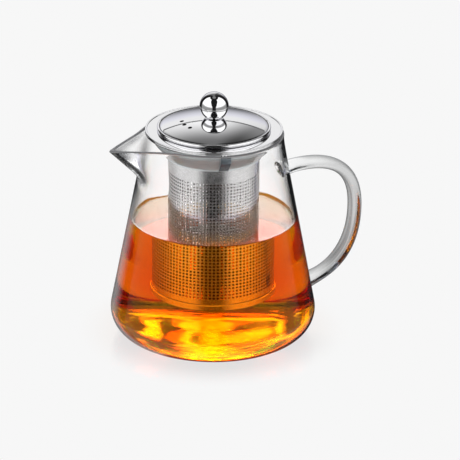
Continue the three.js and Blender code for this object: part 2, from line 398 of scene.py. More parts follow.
class Nodes:
    """Adds nodes to a tree in few words."""

    def __init__(self, tree):
        self.tree = tree
        tree.nodes.clear()

    def add(self, kind, **values):
        node = self.tree.nodes.new(kind)
        for key, value in values.items():
            setattr(node, key, value)
        return node

    def link(self, source, target):
        self.tree.links.new(source, target)

    def feed(self, target, value):
        if isinstance(value, bpy.types.NodeSocket):
            self.link(value, target)
        else:
            target.default_value = value

    def math(self, operation, a, b=None):
        node = self.add("ShaderNodeMath", operation=operation)
        self.feed(node.inputs[0], a)
        if b is not None:
            self.feed(node.inputs[1], b)
        return node.outputs[0]

    def product(self, first, *others):
        for other in others:
            first = self.math("MULTIPLY", first, other)
        return first

    def away(self, value, centre):
        """How far value is from centre, either way."""
        return self.math("ABSOLUTE", self.math("SUBTRACT", value, centre))

    def step(self, value, low, high, first=0.0, last=1.0):
        """A smooth step from first to last as value goes from low to high."""
        node = self.add("ShaderNodeMapRange", interpolation_type="SMOOTHSTEP")
        for slot, item in enumerate((value, low, high, first, last)):
            self.feed(node.inputs[slot], item)
        return node.outputs[0]

    def blend(self, factor, a, b):
        """A number between a and b."""
        node = self.add("ShaderNodeMix", data_type="FLOAT")
        for slot, item in ((0, factor), (2, a), (3, b)):
            self.feed(node.inputs[slot], item)
        return node.outputs[0]

    def mix(self, factor, a, b):
        """A colour between a and b. A number that comes from a socket counts as a grey."""
        node = self.add("ShaderNodeMix", data_type="RGBA")
        for slot, item in ((0, factor), (6, a), (7, b)):
            self.feed(node.inputs[slot], item)
        return node.outputs[2]

    def tinted(self, colour, by):
        node = self.add("ShaderNodeVectorMath", operation="MULTIPLY")
        self.link(colour, node.inputs[0])
        self.feed(node.inputs[1], by)
        return node.outputs[0]

    def coordinates(self, kind="Object"):
        """The x, y and z of a kind of texture coordinate."""
        split = self.add("ShaderNodeSeparateXYZ")
        self.link(self.add("ShaderNodeTexCoord").outputs[kind], split.inputs[0])
        return tuple(split.outputs)

    def radius(self, x, y):
        return self.math("SQRT", self.math("ADD", self.math("MULTIPLY", x, x), self.math("MULTIPLY", y, y)))

    def noise(self, scale, detail=2.0, stretch=(1, 1, 1), kind="Object", distortion=0.0):
        mapping = self.add("ShaderNodeMapping")
        mapping.inputs["Scale"].default_value = stretch
        texture = self.add("ShaderNodeTexNoise")
        for key, value in (("Scale", scale), ("Detail", detail), ("Distortion", distortion)):
            texture.inputs[key].default_value = value
        self.link(self.add("ShaderNodeTexCoord").outputs[kind], mapping.inputs["Vector"])
        self.link(mapping.outputs[0], texture.inputs["Vector"])
        return texture.outputs["Fac"]

    def bump(self, height, strength, distance):
        node = self.add("ShaderNodeBump")
        node.inputs["Strength"].default_value = strength
        node.inputs["Distance"].default_value = distance
        self.link(height, node.inputs["Height"])
        return node.outputs[0]

    def mix_shaders(self, factor, a, b):
        node = self.add("ShaderNodeMixShader")
        for slot, item in enumerate((factor, a, b)):
            self.link(item, node.inputs[slot])
        return node.outputs[0]

    def path_over(self, depth, count):
        """1 for a ray whose Light Path depth of this name is over count, and 0 for the others."""
        return self.math("GREATER_THAN", self.add("ShaderNodeLightPath").outputs[depth], count)

    def show(self, kind, surface, volume=None):
        """Joins a surface, and where there is one a volume, to the tree's output."""
        output = self.add(kind)
        self.link(surface, output.inputs["Surface"])
        if volume is not None:
            self.link(volume, output.inputs["Volume"])


def principled(name, absorb=None, **values):
    """A material with one Principled shader, and for glass and tea a colour and density to absorb by."""
    material = bpy.data.materials.new(name)
    material.use_nodes = True
    nodes = Nodes(material.node_tree)
    shader = nodes.add("ShaderNodeBsdfPrincipled")
    for key, value in values.items():
        shader.inputs[key.replace("_", " ")].default_value = value
    volume = None
    if absorb:
        inside = nodes.add("ShaderNodeVolumeAbsorption")
        inside.inputs["Color"].default_value, inside.inputs["Density"].default_value = absorb
        volume = inside.outputs[0]
    nodes.show("ShaderNodeOutputMaterial", shader.outputs[0], volume)
    return material, nodes, shader


# ------------------------------------------------------------------ materials

POLISHED_COLOUR = (0.9, 0.9, 0.91, 1)
# painted shade for the inside of the basket
INSIDE_SHADE_COLOUR = (0.2, 0.17, 0.15, 1)


def glass_material():
    """Clear borosilicate, darkened by painted shade where it is seen edge on, and with fine cord lines along
    the drawn handle painted as dark streaks of shade.

    The rim, and the edges of the spout and the handle, are a little milky and darkened with painted shade,
    so that they don't carry the tea's colour up the glass.
    """
    material, nodes, shader = principled(
        "blown_glass",
        absorb=((0.5, 0.52, 0.52, 1), 24.0),
        Transmission_Weight=1.0,
        IOR=1.47,
        Roughness=0.0,
        Specular_Tint=(0.2, 0.2, 0.2, 1),
    )
    x, z = nodes.coordinates()[::2]
    on_handle = nodes.step(x, *HANDLE_GLASS)
    on_spout = nodes.step(x, *SPOUT_GLASS, 1.0, 0.0)
    on_rim = nodes.product(nodes.step(nodes.coordinates("Normal")[2], 0.1, 0.6), nodes.step(z, *RIM_GLASS))
    # painted shade: the glass turns dark where it is seen edge on, less so on the handle
    turned_away = nodes.add("ShaderNodeLayerWeight")
    turned_away.inputs["Blend"].default_value = 0.5
    edge = nodes.step(turned_away.outputs["Facing"], nodes.blend(on_handle, 0.57, 0.15), 0.86)
    # painted dark streaks of shade along the handle, laid out like the drawn glass's cord lines and fullest
    # on its upright part
    cords_and_streak_shade = nodes.step(nodes.noise(1.0, stretch=(14, 420, 14)), 0.38, 0.62, 0.35, 1.0)
    upright = nodes.step(x, *CORD_SHADE_GLASS, 0.2, 1.0)
    clear = nodes.mix(nodes.product(cords_and_streak_shade, on_handle, upright), WHITE, (0.18, 0.18, 0.18, 1))
    # the grey of the painted edge shade, lighter on the spout
    edge_shade = nodes.mix(on_spout, (0.16, 0.165, 0.165, 1), (0.7, 0.7, 0.7, 1))
    # painted shade: the top of the rim is a dark grey, and most of it is diffuse
    colour = nodes.mix(on_rim, nodes.mix(edge, clear, edge_shade), (0.25, 0.25, 0.26, 1))
    nodes.link(colour, shader.inputs["Base Color"])
    milky_edge = nodes.product(edge, nodes.math("MAXIMUM", on_spout, on_handle), 0.5)
    milky = nodes.math("MAXIMUM", nodes.product(on_rim, 0.75), milky_edge)
    nodes.link(nodes.math("SUBTRACT", 1.0, milky), shader.inputs["Transmission Weight"])
    waves = nodes.noise(28.0, 1.0, (1, 1, 0.35))
    nodes.link(nodes.bump(waves, 0.06, 0.0006), shader.inputs["Normal"])
    return material


def tea_material():
    """Clear amber liquid, coloured by its depth alone, with faint ripples."""
    material, nodes, shader = principled(
        "tea",
        absorb=((0.97, 0.735, 0.05, 1), 90.0),
        Base_Color=WHITE,
        Transmission_Weight=1.0,
        IOR=1.33,
        Roughness=0.0,
    )
    nodes.link(nodes.bump(nodes.noise(45.0, 1.0), 0.15, 0.0005), shader.inputs["Normal"])
    return material


def polished_material(name):
    """Mirror polish with faint wear and a faint waviness."""
    material, nodes, shader = principled(name, Base_Color=POLISHED_COLOUR, Metallic=1.0)
    nodes.link(nodes.step(nodes.noise(90.0, 4.0), 0.35, 0.75, 0.03, 0.075), shader.inputs["Roughness"])
    nodes.link(nodes.bump(nodes.noise(22.0, 1.0), 0.08, 0.0003), shader.inputs["Normal"])
    return material, nodes, shader


def vent_places():
    """Centres of the lid's vents."""
    angles = [math.pi + (i - (VENT_COUNT - 1) / 2) * VENT_STEP for i in range(VENT_COUNT)]
    return [(VENT_CIRCLE * math.cos(a), VENT_CIRCLE * math.sin(a)) for a in angles]


def lid_material():
    """Polished steel with painted shade, dark inside the vents and in the groove beside the rolled edge."""
    material, nodes, shader = polished_material("lid_steel")
    x, y = nodes.coordinates()[:2]
    # painted shade in the groove beside the rolled edge
    off_groove = nodes.away(nodes.radius(x, y), GROOVE_RADIUS * MM)
    dark = nodes.step(off_groove, GROOVE_HALF_WIDTH * MM, (GROOVE_HALF_WIDTH + 0.3) * MM, 1.0, 0.0)
    # painted shade inside each vent and just round its edge
    edge = (VENT_RADIUS + VENT_SHADE_REACH) * MM
    for centre_x, centre_y in vent_places():
        dx = nodes.math("SUBTRACT", x, centre_x * MM)
        dy = nodes.math("SUBTRACT", y, centre_y * MM)
        dark = nodes.math("MAXIMUM", dark, nodes.step(nodes.radius(dx, dy), edge, edge + 0.1 * MM, 1.0, 0.0))
    nodes.link(nodes.mix(dark, POLISHED_COLOUR, (0.03, 0.03, 0.03, 1)), shader.inputs["Base Color"])
    return material


def grained_material(name, metallic, grain_scale, rough):
    """Steel whose roughness follows a fine grain. The caller colours it by the grain too."""
    material, nodes, shader = principled(name, Metallic=metallic)
    grain = nodes.noise(grain_scale, 3.0)
    nodes.link(nodes.step(grain, 0.3, 0.7, *rough), shader.inputs["Roughness"])
    return material, nodes, shader.inputs["Base Color"], grain


def satin_material():
    """Fine-ground steel, with painted shade making the inside of the basket darker."""
    material, nodes, colour, grain = grained_material("satin_steel", 0.93, 420.0, (0.13, 0.22))
    steel = nodes.mix(grain, (0.72, 0.71, 0.71, 1), (0.86, 0.85, 0.85, 1))
    x, y, z = nodes.coordinates()
    # painted shade on the inside of the basket, below its top
    middle = (BASKET_RADIUS - TUBE_SHEET / 2) * MM
    within = nodes.step(nodes.radius(x, y), middle - 0.2 * MM, middle + 0.2 * MM, 1.0, 0.0)
    below = nodes.step(z, BASKET_TOP * MM, (BASKET_TOP + 2) * MM, 1.0, 0.0)
    nodes.link(nodes.mix(nodes.product(within, below), steel, INSIDE_SHADE_COLOUR), colour)
    return material


def pressed_material(name, dark, light):
    """Pressed steel with a soft, slightly milky surface."""
    material, nodes, colour, grain = grained_material(name, 0.45, 300.0, (0.16, 0.24))
    nodes.link(nodes.mix(grain, dark, light), colour)
    return material


GLASS = glass_material()
TEA = tea_material()
POLISHED = polished_material("polished_steel")[0]
LID_STEEL = lid_material()
SATIN = satin_material()
PRESSED = pressed_material("pressed_steel", (0.8, 0.86, 0.87, 1), (0.9, 0.96, 0.97, 1))
SPRING = pressed_material("spring_steel", (0.2, 0.24, 0.27, 1), (0.26, 0.3, 0.33, 1))


def finish_piece(obj, material, body, slot, *nodes):
    """Gives a piece its material and body, and hides the CAD nodes it stands for. slot is not used."""
    obj.data.materials.clear()
    obj.data.materials.append(material)
    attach(obj, body)
    if nodes:
        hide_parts(*nodes)


# ------------------------------------------------------------------ pot


def soft_max(a, b, blend):
    """The larger of a and b, with the change from one to the other rounded over blend."""
    near = np.maximum(blend - np.abs(a - b), 0) / blend
    return np.maximum(a, b) + near * near * blend / 4


def cone(z):
    return RIM_RADIUS + FLARE * (RIM_Z - z)


# radius of the centre of the foot's corner arc, whose end runs into the cone
FOOT_CENTRE = cone(FOOT_CORNER * (1 + math.sin(LEAN))) - FOOT_CORNER * math.cos(LEAN)


def beak(theta, z, inset):
    """Radius of the beak, seen from the axis. theta is 0 at the keel, which is rounder lower down."""
    tip_z = SPOUT_TIP_Z - WALL / 2
    slope = (SPOUT_REACH - cone(SPOUT_KEEL_Z)) / (tip_z - SPOUT_KEEL_Z)
    keel = cone(SPOUT_KEEL_Z) - inset / math.sin(SPOUT_ANGLE) + slope * (z - SPOUT_KEEL_Z)
    below = np.clip((tip_z - z) / (tip_z - SPOUT_KEEL_Z), 0, 1)
    rounding = 0.03 + 0.35 * below ** 1.5
    off_keel = np.sqrt(theta ** 2 + rounding ** 2)
    facing = np.minimum(SPOUT_ANGLE + off_keel, math.radians(90))
    return keel * np.sin(SPOUT_ANGLE + rounding) / np.sin(facing)


def body_radius(theta, z, inset):
    """Radius of the pot's outer skin, or at an inset of one wall, of its inner skin."""
    return soft_max(cone(z) - inset, beak(theta, z, inset), BEAK_BLEND)


def foot_arc(radius):
    """The foot's corner at this radius, from underneath up to where the side starts."""
    return arc(FOOT_CENTRE, FOOT_CORNER, radius, -90, math.degrees(LEAN), CORNER_STEPS)


def swell(share, rise):
    """Height of a rise in the middle of a disc, at a share of its radius."""
    return rise * (1 + math.cos(math.pi * share)) / 2


def wall_rings(theta, inset, start_z, lip_z):
    """One skin of the wall, upwards, as a radius and a height for every theta."""
    rings = []
    for share in np.linspace(0, 1, WALL_ROWS)[1:]:
        z = start_z + (lip_z - start_z) * share ** WALL_CROWDING
        rings.append((body_radius(theta, z, inset), z))
    return rings


def lip_rings(theta, lip_z):
    """The rounded rim, from the outer skin over to the inner."""
    outer, inner = body_radius(theta, lip_z, 0), body_radius(theta, lip_z, WALL)
    middle, half = (outer + inner) / 2, (outer - inner) / 2
    angles = np.linspace(0, math.pi, LIP_STEPS + 1)[1:-1]
    return [(middle + half * math.cos(a), lip_z + WALL / 2 * math.sin(a)) for a in angles]


def body_rings(theta):
    """The pot's skin, from under its foot, over its lip and down to its floor."""
    reach = body_radius(theta, RIM_Z, 0) - RIM_RADIUS
    droop = (RIM_Z - SPOUT_TIP_Z) * np.clip(reach / (SPOUT_REACH - RIM_RADIUS), 0, 1)
    lip_z = RIM_Z - droop - WALL / 2
    hollow = [((FOOT_CENTRE - STANDING_RING) * share, swell(share, PUSH_UP)) for share in HOLLOW_SHARES]
    outer_foot, inner_foot = foot_arc(FOOT_CORNER), foot_arc(FOOT_CORNER - WALL)
    outer_wall = wall_rings(theta, 0, outer_foot[-1][1], lip_z)
    inner_wall = wall_rings(theta, WALL, inner_foot[-1][1], lip_z)
    floor = [(FOOT_CENTRE * share, WALL + swell(share, FLOOR_RISE)) for share in FLOOR_SHARES]
    outside = hollow + outer_foot + outer_wall
    inside = floor + inner_foot + inner_wall
    return outside + lip_rings(theta, lip_z) + inside[::-1]


def make_glass_body():
    turn = np.linspace(-math.pi, math.pi, BODY_COLUMNS + 1)[:-1]
    theta = turn - BEAK_CROWDING * np.sin(turn)
    vertices, rings = [(0, 0, PUSH_UP)], [[0]]
    for r, z in body_rings(theta):
        rings.append(range(len(vertices), len(vertices) + BODY_COLUMNS))
        vertices.extend(zip(-r * np.cos(theta), -r * np.sin(theta), z * np.ones_like(theta)))
    rings.append([len(vertices)])
    vertices.append((0, 0, WALL + FLOOR_RISE))
    return new_object("glass_pot", vertices, skin(rings))


def bezier(points, t):
    a, b, c, d = (np.array(p, float) for p in points)
    s = 1 - t
    return s ** 3 * a + 3 * s * s * t * b + 3 * s * t * t * c + t ** 3 * d


def root(size, distance):
    """How much wider the rod is this far from one of its roots."""
    growth, fade = size
    return growth * math.exp(-((distance / fade) ** 2))


def make_handle():
    """The handle's rod, thicker where it is fused to the pot."""
    line = [bezier(HANDLE_UPPER, t) for t in np.linspace(0, 1, HANDLE_ROWS)]
    line += [bezier(HANDLE_LOWER, t) for t in np.linspace(0, 1, HANDLE_ROWS)[1:]]
    steps = np.linalg.norm(np.diff(line, axis=0), axis=1)
    travelled = np.concatenate([[0], np.cumsum(steps)])
    vertices, rings = [], []
    for (x, z), (along_x, along_z), done in zip(line, directions(line), travelled):
        spread = 1 + root(TOP_ROOT, done) + root(FOOT_ROOT, travelled[-1] - done)
        rings.append(range(len(vertices), len(vertices) + HANDLE_SIDES))
        for i in range(HANDLE_SIDES):
            a = 2 * math.pi * i / HANDLE_SIDES
            across = HANDLE_THICK / 2 * spread * math.cos(a)
            y = HANDLE_WIDE / 2 * spread * math.sin(a)
            vertices.append((x - along_z * across, y, z + along_x * across))
    return new_object("glass_handle_rod", vertices, capped(rings))


def make_pot():
    """The pot and its handle as one piece of glass."""
    pot = make_glass_body()
    boolean(pot, make_handle(), "UNION")
    smooth(pot, 50)
    finish_piece(pot, GLASS, "pot", "glass", "glass_body", "glass_handle")


def make_tea():
    """The tea in the pot, a round body that also fills the basket."""
    side = WALL - TEA_BITE
    outline = [(0, side + FLOOR_RISE)]
    outline += [(FOOT_CENTRE * share, side + swell(share, FLOOR_RISE)) for share in FLOOR_SHARES]
    outline += foot_arc(FOOT_CORNER - side)
    start_z = outline[-1][1]
    for share in np.linspace(0, 1, TEA_ROWS)[1:]:
        z = start_z + (TEA_LEVEL + MENISCUS_RISE - start_z) * share
        outline.append((cone(z) - side, z))
    wall_r = outline[-1][0]
    for distance in MENISCUS_REACH * np.geomspace(0.3, 8, 9):
        rise = MENISCUS_RISE * math.exp(-distance / MENISCUS_REACH)
        outline.append((wall_r - distance, TEA_LEVEL + rise))
    outline.append((0, TEA_LEVEL))
    tea = lathe("tea", outline, closed=False)
    smooth(tea, 60)
    finish_piece(tea, TEA, "pot", None)


# ------------------------------------------------------------------ infuser


def make_collar_ring():
    """A flat ring with a raised hem of two beads round its edge and a lip turned down inside."""
    top, low = RING_TOP, RING_BOTTOM
    plate = top - 0.35
    outline = [
        (RING_INNER, low),
        (RING_INNER + 0.5, low),
        (RING_INNER + 0.6, top - 0.9),
        (RING_OUTER - 0.8, top - 0.9),
        (RING_OUTER - 0.7, low),
        (RING_OUTER - 0.05, low),
        (RING_OUTER, low + 0.75),
        (RING_OUTER - 0.35, low + 0.95),
        (RING_OUTER, low + 1.2),
        (RING_OUTER, top),
        (RING_OUTER - 1.1, top),
        (RING_OUTER - 1.25, plate),
        (RING_INNER + 0.9, plate),
        (RING_INNER + 0.7, top - 0.1),
        (RING_INNER, top - 0.1),
    ]
    radii = [0.2, 0.2, 0.3, 0.3, 0.3, 0.35, 0.3, 0.1, 0.3, 0.6, 0.6, 0.3, 0.3, 0.4, 0.4]
    ring = lathe("collar_ring_polished", filleted(outline, radii))
    finish_piece(ring, POLISHED, "infuser", "polished_steel", "collar_ring")


def funnel_outline():
    """The funnel's sheet, along its outside and back along its inside."""
    flange = RING_OUTER - SHEET - GAP
    outside = [
        (FUNNEL_LIP, FUNNEL_BOTTOM),
        (FUNNEL_LIP + 0.1, FUNNEL_BOTTOM + 1.2),
        *FUNNEL_BOWL,
        (FUNNEL_NECK, FUNNEL_NECK_Z),
        (FUNNEL_NECK, FUNNEL_TOP - SHEET),
        (flange, FUNNEL_TOP - SHEET),
    ]
    inside = [(r - SHEET, z) for r, z in outside]
    inside[-1] = (flange, FUNNEL_TOP)
    inside[-2] = (FUNNEL_NECK - SHEET, FUNNEL_TOP)
    radii = [0.2, 0.8, 3, 6, 5, 3, 0.8, 0.2]
    return filleted(outside + inside[::-1], radii + radii[::-1], steps=6)


def make_funnel():
    """The spun funnel, with a slot for each clip's free end."""
    funnel = lathe("collar_funnel_polished", funnel_outline())
    for angle in CLIP_ANGLES:
        size = (4 * SHEET, CLIP_WIDTH + SLOT_SPARE, SLOT_HEIGHT)
        cutter = turned_box("slot", size, (FUNNEL_NECK - SHEET / 2, CLIP_FREE_Z), angle)
        boolean(funnel, cutter, "DIFFERENCE")
    smooth(funnel)
    finish_piece(funnel, PRESSED, "infuser", "polished_steel", "collar_funnel")


def clip_path(foot_z):
    """A clip's middle line from its free end in the slot, over the crest, to its welded foot."""
    crest = CLIP_CREST - CLIP_THICK / 2
    foot, bend = CLIP_FOOT
    line = [(FUNNEL_NECK - CLIP_FREE_INSET, CLIP_FREE_Z)]
    line += [(crest, z) for z in CLIP_CREST_Z]
    line += [(bend, foot_z + CLIP_BEND_RISE), (foot, foot_z)]
    return filleted(line, [0, 1.2, 1.2, 1.0, 0], steps=6, closed=False)


def make_clip(number, angle):
    """A bent leaf of spring steel with softened edges."""
    node = f"spring_clip_{number}"
    path = clip_path(node_span(node)[0] + CLIP_THICK / 2)
    spin = Matrix.Rotation(math.radians(angle), 3, "Z")
    vertices, rings = [], []
    for (r, z), (along_r, along_z) in zip(path, directions(path)):
        rings.append(range(len(vertices), len(vertices) + 4))
        for side, y in ((-1, -1), (-1, 1), (1, 1), (1, -1)):
            off = side * CLIP_THICK / 2
            vertices.append(spin @ Vector((r - along_z * off, y * CLIP_WIDTH / 2, z + along_r * off)))
    clip = new_object(f"clip_leaf_{number}", vertices, capped(rings))
    bevel = clip.modifiers.new("bevel", "BEVEL")
    bevel.width = CLIP_BEVEL * MM
    bevel.segments = 3
    bevel.limit_method = "ANGLE"
    bevel.angle_limit = math.radians(50)
    bake_modifiers(clip)
    smooth(clip, 40)
    finish_piece(clip, SPRING, f"clip_{number}", "polished_steel", node)


def make_basket_tube():
    """A tube of sheet with a square grid of holes between two plain bands."""
    heights = list(np.linspace(BASKET_BOTTOM, HOLE_LOW, 4)[:-1])
    rows_with_holes = range(len(heights), len(heights) + HOLE_ROWS)
    heights += list(np.linspace(HOLE_LOW, HOLE_HIGH, HOLE_ROWS + 1))
    heights += list(np.linspace(HOLE_HIGH, BASKET_TOP, 5)[1:])
    plain_columns = range(SEAM_START, SEAM_START + SEAM_COLUMNS)
    first, last = (1 - HOLE_SHARE) / 2, (1 + HOLE_SHARE) / 2
    hole_corners = ((first, first), (last, first), (last, last), (first, last))
    vertices = []

    def point(radius, column, z):
        a = 2 * math.pi * column / HOLE_COLUMNS
        vertices.append((radius * math.cos(a), radius * math.sin(a), z))
        return len(vertices) - 1

    radii = (BASKET_RADIUS, BASKET_RADIUS - TUBE_SHEET)
    outer, inner = ([[point(r, i, z) for i in range(HOLE_COLUMNS)] for z in heights] for r in radii)
    faces = band(outer[0], inner[0]) + band(outer[-1], inner[-1])
    for k, (low, high) in enumerate(zip(heights, heights[1:])):
        cells = zip(band(outer[k], outer[k + 1]), band(inner[k], inner[k + 1]))
        for i, cell in enumerate(cells):
            if i in plain_columns or k not in rows_with_holes:
                faces += cell
                continue
            hole = [[point(r, i + u, low + (high - low) * v) for u, v in hole_corners] for r in radii]
            faces += band(cell[0], hole[0]) + band(cell[1], hole[1]) + band(*hole)
    tube = new_object("basket_perforated", vertices, faces)
    smooth(tube, 40)
    finish_piece(tube, SATIN, "infuser", "satin_steel", "basket_tube")


def make_basket_base():
    """A pressed cup with a shallow dip in its floor, crimped round the tube."""
    inner = BASKET_RADIUS + GAP
    floor_top = BASKET_BOTTOM - GAP
    outline = [
        (0, BASE_BOTTOM + 0.5),
        (BASE_DIP, BASE_BOTTOM + 0.5),
        (BASE_DIP + 1.5, BASE_BOTTOM),
        (BASE_RADIUS - 0.6, BASE_BOTTOM),
        (BASE_RADIUS, BASE_BOTTOM + 0.8),
        (BASE_RADIUS, BASE_TOP - 0.7),
        (BASE_RADIUS - 0.2, BASE_TOP),
        (inner, BASE_TOP),
        (inner, floor_top),
        (BASE_DIP + 1.5, floor_top),
        (BASE_DIP, floor_top + 0.15),
        (0, floor_top + 0.15),
    ]
    radii = [0, 1, 1, 0.9, 0.9, 0.5, 0.2, 0.2, 0.3, 1, 1, 0]
    base = lathe("basket_cup", filleted(outline, radii, closed=False), closed=False)
    finish_piece(base, SATIN, "infuser", "satin_steel", "basket_base")


# ------------------------------------------------------------------ lid


def dome_z(r):
    curve = (DOME_RADIUS ** 2 + DOME_RISE ** 2) / (2 * DOME_RISE)
    return LID_TOP - curve + math.sqrt(curve ** 2 - r ** 2)


def make_lid_dome():
    """A shallow dome, a groove and a rolled bead round its edge, with three vents."""
    radii = np.linspace(SCREW_HOLE, DOME_RADIUS - 0.8, DOME_ROWS)
    top = [(r, dome_z(r)) for r in radii]
    under = [(r, dome_z(r) - SHEET) for r in radii]
    bead_r = LID_RADIUS - BEAD
    edge = arc(bead_r, LID_BOTTOM + BEAD, BEAD, -90, 125, 16)
    groove = (DOME_RADIUS - 0.25, edge[-1][1] - 0.05)
    outline = [*under, (bead_r - 0.5, LID_BOTTOM), *edge, groove, *top[::-1]]
    dome = lathe("lid_dome_polished", outline)
    for x, y in vent_places():
        low, high = LID_BOTTOM, LID_TOP + 2
        profile = [(0, low), (VENT_RADIUS, low), (VENT_RADIUS, high), (0, high)]
        cutter = lathe("vent", profile, VENT_SIDES, False)
        cutter.data.transform(Matrix.Translation((x * MM, y * MM, 0)))
        boolean(dome, cutter, "DIFFERENCE")
    smooth(dome)
    finish_piece(dome, LID_STEEL, "lid", "polished_steel", "lid_dome")


def make_lid_skirt():
    inner = SKIRT_RADIUS - SHEET
    outline = [
        (inner, SKIRT_BOTTOM),
        (SKIRT_RADIUS - 0.2, SKIRT_BOTTOM),
        (SKIRT_RADIUS, SKIRT_BOTTOM + 0.8),
        (SKIRT_RADIUS, SKIRT_TOP),
        (inner, SKIRT_TOP),
    ]
    skirt = lathe("lid_skirt_satin", filleted(outline, [0.25, 0.25, 0.4, 0.2, 0.2]))
    finish_piece(skirt, SATIN, "lid", "satin_steel", "lid_skirt")


def make_ball():
    """The knob, with a blind hole for the screw."""
    centre_z = BALL_TOP - BALL_RADIUS
    flat = math.degrees(math.asin((BALL_BOTTOM - centre_z) / BALL_RADIUS))
    outline = [(0, SCREW_TOP + GAP), (SCREW_HOLE, SCREW_TOP + GAP), (SCREW_HOLE, BALL_BOTTOM)]
    outline += arc(0, centre_z, BALL_RADIUS, flat, 90, 60)[:-1]
    outline.append((0, BALL_TOP))
    ball = lathe("knob_ball_polished", outline, BALL_SIDES, False)
    finish_piece(ball, POLISHED, "lid", "polished_steel", "knob_ball")


def make_screw():
    """The screw that holds the knob, with a slotted head under the dome."""
    head_top = SCREW_BOTTOM + SCREW_HEAD
    outline = [
        (0, SCREW_BOTTOM),
        (SCREW_HEAD_RADIUS - 0.6, SCREW_BOTTOM),
        (SCREW_HEAD_RADIUS, SCREW_BOTTOM + 0.7),
        (SCREW_HEAD_RADIUS, head_top),
        (SCREW_RADIUS, head_top),
        (SCREW_RADIUS, SCREW_TOP - 0.5),
        (SCREW_RADIUS - 0.5, SCREW_TOP),
        (0, SCREW_TOP),
    ]
    profile = filleted(outline, [0, 0.4, 0.4, 0.2, 0.2, 0, 0, 0], closed=False)
    screw = lathe("knob_screw_satin", profile, SCREW_SIDES, False)
    cutter = turned_box("slot", (3 * SCREW_HEAD_RADIUS, *SCREW_SLOT), (0, SCREW_BOTTOM), 0)
    boolean(screw, cutter, "DIFFERENCE")
    smooth(screw)
    finish_piece(screw, SATIN, "lid", "satin_steel", "knob_screw")


def make_washer():
    outline = [
        (SCREW_HOLE, WASHER_BOTTOM),
        (WASHER_RADIUS, WASHER_BOTTOM),
        (WASHER_RADIUS, WASHER_TOP),
        (SCREW_HOLE, WASHER_TOP),
    ]
    washer = lathe("knob_washer_satin", filleted(outline, 0.2), SCREW_SIDES)
    finish_piece(washer, SATIN, "lid", "satin_steel", "knob_washer")


# ------------------------------------------------------------------ studio


def make_camera():
    azimuth, elevation = PHOTO_AZIMUTH, PHOTO_ELEVATION
    back = Vector((
        math.sin(azimuth) * math.cos(elevation),
        -math.cos(azimuth) * math.cos(elevation),
        math.sin(elevation),
    ))
    data = bpy.data.cameras.new("camera")
    data.sensor_width = SENSOR
    data.lens = SENSOR * CAMERA_DISTANCE / FRAME_SIDE
    data.shift_x, data.shift_y = CAMERA_SHIFT
    data.clip_start = 0.05
    data.clip_end = 50
    camera = bpy.data.objects.new("camera", data)
    bpy.context.scene.collection.objects.link(camera)
    camera.location = Vector((0, 0, TARGET_Z)) + back * CAMERA_DISTANCE
    roll = Matrix.Rotation(CAMERA_ROLL, 4, "Z")
    aim = (-back).to_track_quat("-Z", "Y").to_matrix().to_4x4()
    camera.rotation_euler = (aim @ roll).to_euler()
    bpy.context.scene.camera = camera


def glass_gain(nodes):
    """How much brighter the backdrop and the floor are for a ray that has come through glass."""
    return nodes.blend(nodes.path_over("Transmission Depth", 0.5), 1.0, GLASS_GAIN)


def reflected(nodes):
    """1 for a ray that has been reflected on its way here, and 0 for one that has not."""
    return nodes.path_over("Glossy Depth", 0.5)


def floor_glow(nodes, distance, gloss):
    """What the floor has to give out, beside its gloss, to look like the backdrop."""
    own = nodes.math("SUBTRACT", BACKDROP, nodes.product(gloss, HAZE))
    level = nodes.math("DIVIDE", own, nodes.math("SUBTRACT", 1.0, gloss))
    level = nodes.math("ADD", level, nodes.step(distance, *LAMP_FROM_AXIS, LAMP_UNDER_POT, 0.0))
    return nodes.product(level, glass_gain(nodes))


def make_floor():
    """A lit acrylic table: it glows evenly, more so under the pot, and is a little glossy near it.

    A ray that steel or glass has already reflected goes through it and meets the studio below.
    """
    material = bpy.data.materials.new("table_top")
    material.use_nodes = True
    nodes = Nodes(material.node_tree)
    distance = nodes.radius(*nodes.coordinates()[:2])
    near = nodes.step(distance, *GLOSSY_FROM_AXIS, FLOOR_GLOSS, 0.0)
    glow = nodes.add("ShaderNodeEmission")
    nodes.link(floor_glow(nodes, distance, near), glow.inputs["Strength"])
    gloss = nodes.add("ShaderNodeBsdfGlossy")
    gloss.inputs["Roughness"].default_value = 0.22
    gloss.inputs["Color"].default_value = GLOSS_COLOUR
    table = nodes.mix_shaders(near, glow.outputs[0], gloss.outputs[0])
    clear = nodes.add("ShaderNodeBsdfTransparent").outputs[0]
    nodes.show("ShaderNodeOutputMaterial", nodes.mix_shaders(reflected(nodes), table, clear))
    turns = np.linspace(0, 2 * math.pi, FLOOR_SIDES + 1)[:-1]
    corners = [(FLOOR_RADIUS * math.cos(a), FLOOR_RADIUS * math.sin(a), FLOOR_Z) for a in turns]
    floor = new_object("studio_floor", corners, [range(FLOOR_SIDES)])
    floor.data.materials.append(material)


def world_angles(nodes):
    """Degrees round from the camera's side, positive towards its right, and up from the horizon."""
    x, y, z = nodes.coordinates("Generated")
    sine, cosine = math.sin(PHOTO_AZIMUTH), math.cos(PHOTO_AZIMUTH)
    front = nodes.math("SUBTRACT", nodes.product(x, sine), nodes.product(y, cosine))
    side = nodes.math("ADD", nodes.product(x, cosine), nodes.product(y, sine))
    turn = nodes.product(nodes.math("ARCTAN2", side, front), 180 / math.pi)
    return turn, nodes.product(nodes.math("ARCSINE", z), 180 / math.pi)


